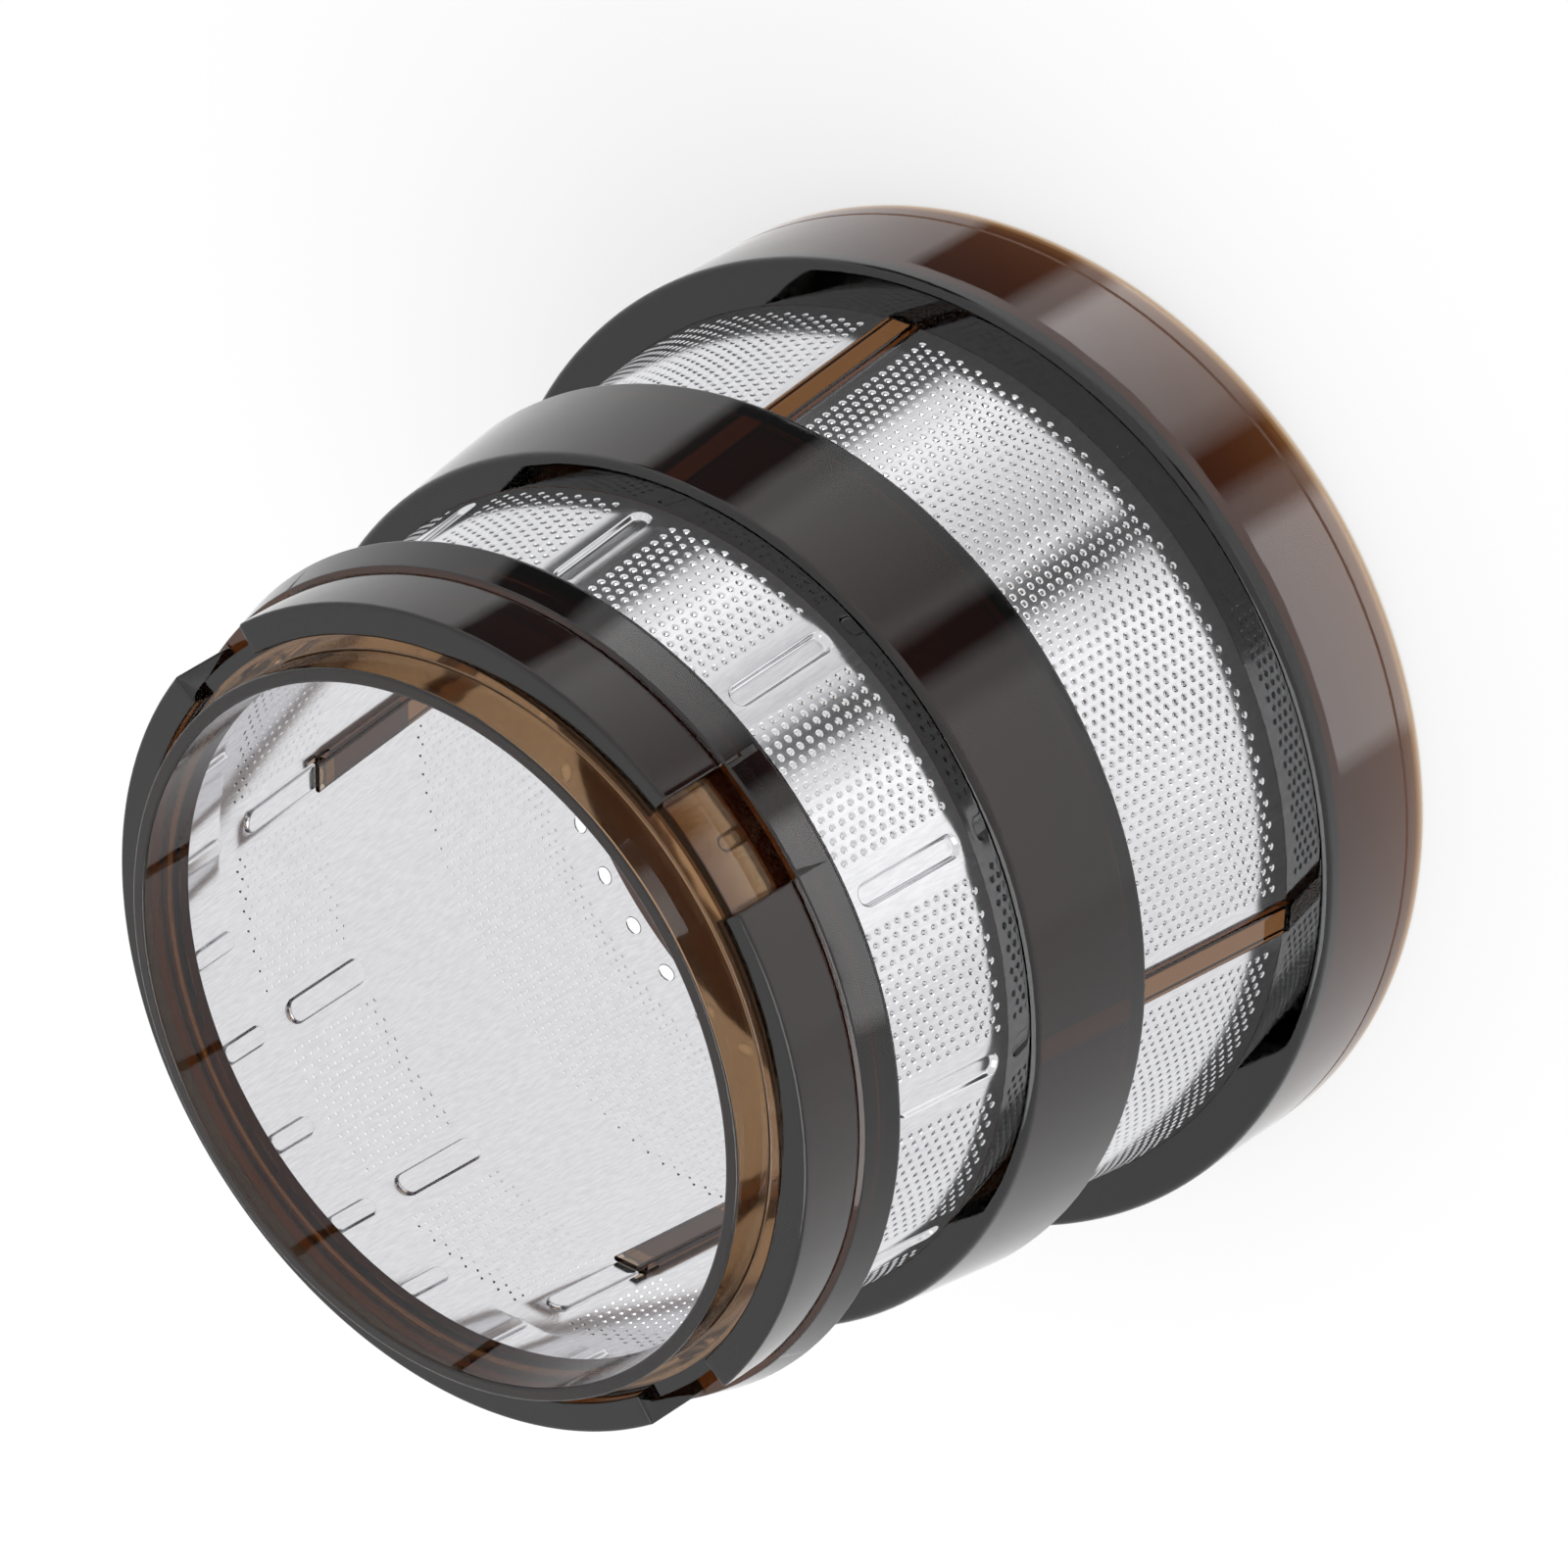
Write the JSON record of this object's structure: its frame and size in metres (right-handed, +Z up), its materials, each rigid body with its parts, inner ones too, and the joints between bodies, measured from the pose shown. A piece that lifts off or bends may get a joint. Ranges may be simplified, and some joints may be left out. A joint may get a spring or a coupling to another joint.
{
  "type": "slow juicer strainer basket",
  "caption": "Conical perforated steel strainer sleeve for a slow juicer, held in a smoky translucent plastic frame with a wide flange, a middle band and a notched small ring.",
  "frame": {"origin": "centre of the wide rim's end face, on the surface that the basket stands on", "axes": "+Z up the basket's axis from the wide rim to the small mouth, +X through the first column"},
  "size_m": [0.132, 0.132, 0.108],
  "materials": {
    "smoky_plastic": "glossy, dark smoky brown, amber where the wall is thin",
    "polished_steel": "polished stainless sheet with rows of fine holes"
  },
  "bodies": {
    "root": {"small_ring": "smoky_plastic", "banded_frame": "smoky_plastic", "steel_sleeve": "polished_steel"}
  },
  "joints": []
}
